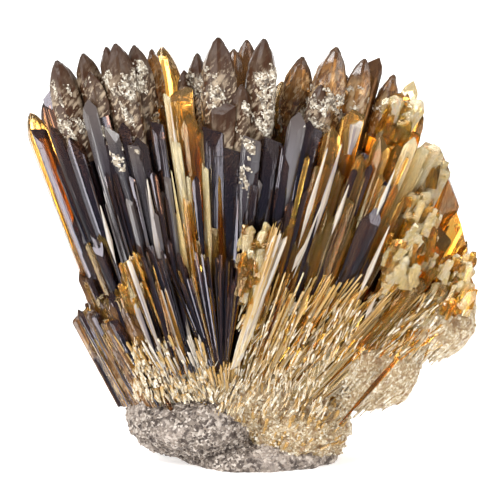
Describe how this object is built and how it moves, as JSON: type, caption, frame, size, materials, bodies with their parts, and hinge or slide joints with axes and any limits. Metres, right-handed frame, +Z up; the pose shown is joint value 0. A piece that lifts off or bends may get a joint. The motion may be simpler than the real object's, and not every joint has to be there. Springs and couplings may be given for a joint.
{
  "type": "calcite cluster",
  "caption": "Fan of long brown and honey calcite crystals with pointed, partly crusted ends, grown from a pale fibrous root on a lump of grey granular rock.",
  "frame": {"origin": "centre of the base, on the surface that the cluster rests on", "axes": "+Z up, +X to the right of the pictured side, -Y towards the pictured side"},
  "size_m": [0.0902, 0.0401, 0.0864],
  "materials": {
    "granular_rock": "rough grey-brown granular stone with dark pits",
    "milky_calcite": "cream to honey, fibrous and sugary, half translucent",
    "clear_calcite": "clear dark brown to honey crystal with flat glossy faces and fine lengthwise ribs"
  },
  "bodies": {
    "root": {"host_rock": "granular_rock", "pale_root": "milky_calcite", "crystal_fan": "clear_calcite"}
  },
  "joints": []
}
